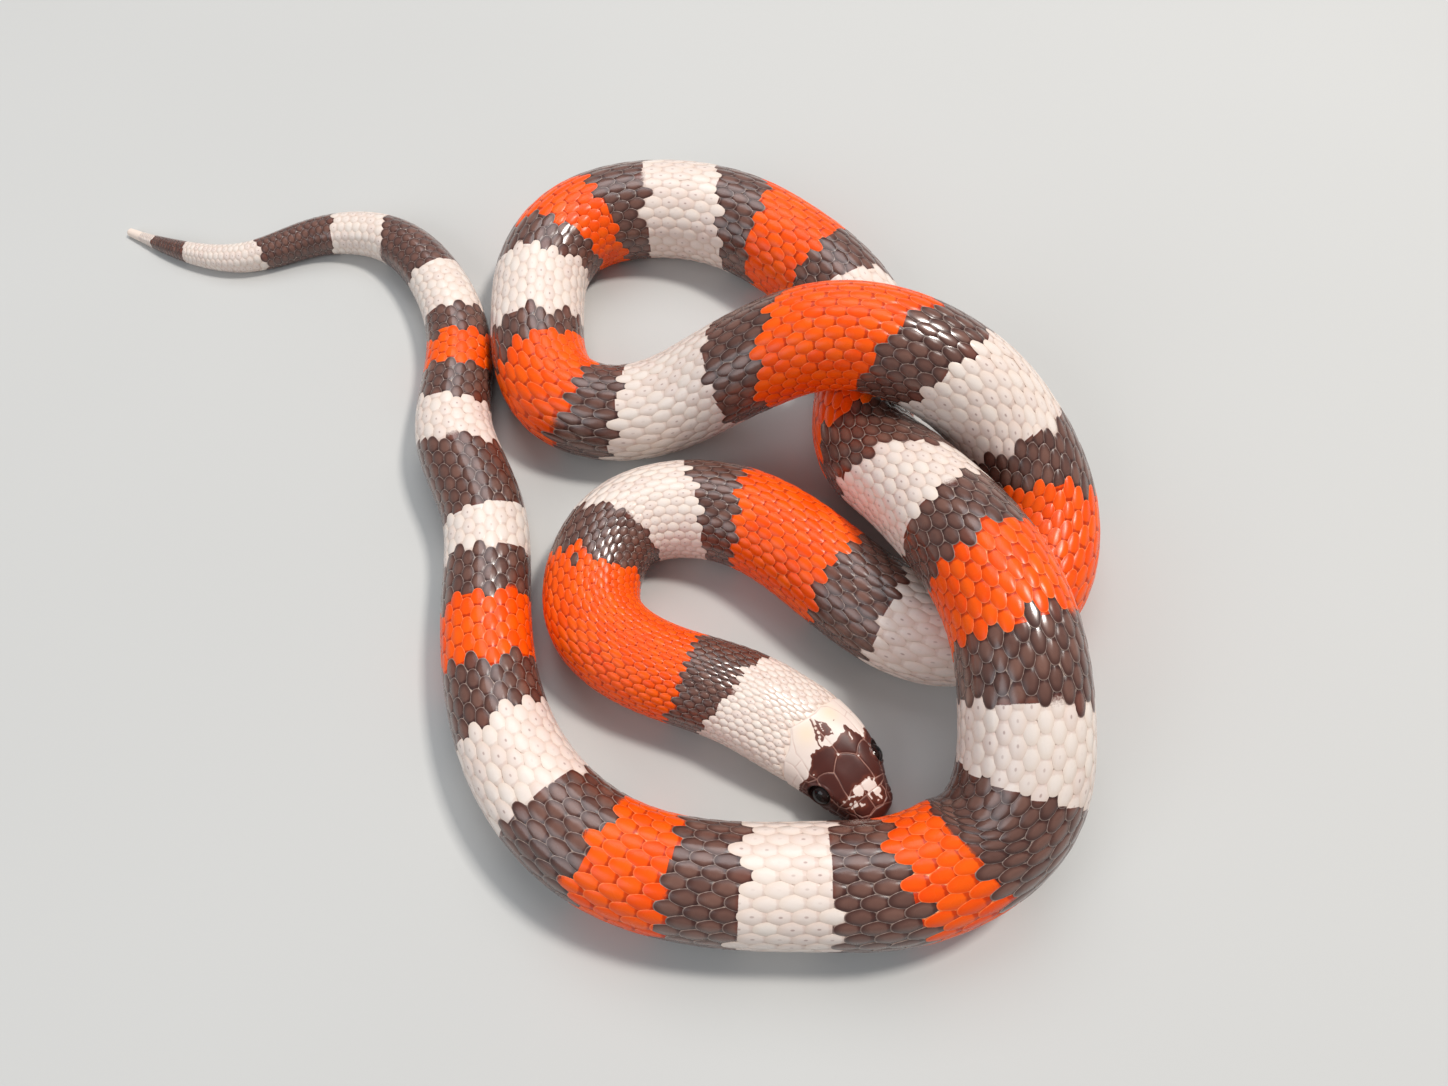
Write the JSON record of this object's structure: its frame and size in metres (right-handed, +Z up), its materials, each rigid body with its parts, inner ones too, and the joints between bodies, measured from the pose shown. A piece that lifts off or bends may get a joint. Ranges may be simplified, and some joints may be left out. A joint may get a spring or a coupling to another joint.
{
  "type": "milk snake, still life-size model",
  "caption": "Still museum model of a milk snake lying in crossing coils, flat-bellied, with a plated head and a banded body.",
  "frame": {"origin": "on the floor under the middle of the whole model's box", "axes": "+X along the model's longest extent, to the right in the picture; +Y away from the viewer; +Z up from the floor"},
  "size_m": [0.2094, 0.1683, 0.0376],
  "materials": {
    "head_scales": "smooth glossy plates, dark reddish brown with pale seams",
    "body_scales": "smooth glossy scales in bands of orange, dark brown and cream white",
    "eye": "polished, nearly black"
  },
  "bodies": {
    "root": {"head": "head_scales", "eye_left": "eye", "eye_right": "eye", "neck": "body_scales", "body_01": "body_scales", "body_02": "body_scales", "body_03": "body_scales", "body_04": "body_scales", "body_05": "body_scales", "body_06": "body_scales", "body_07": "body_scales", "body_08": "body_scales", "body_09": "body_scales", "body_10": "body_scales", "body_11": "body_scales", "body_12": "body_scales", "tail_01": "body_scales", "tail_02": "body_scales"}
  },
  "joints": []
}
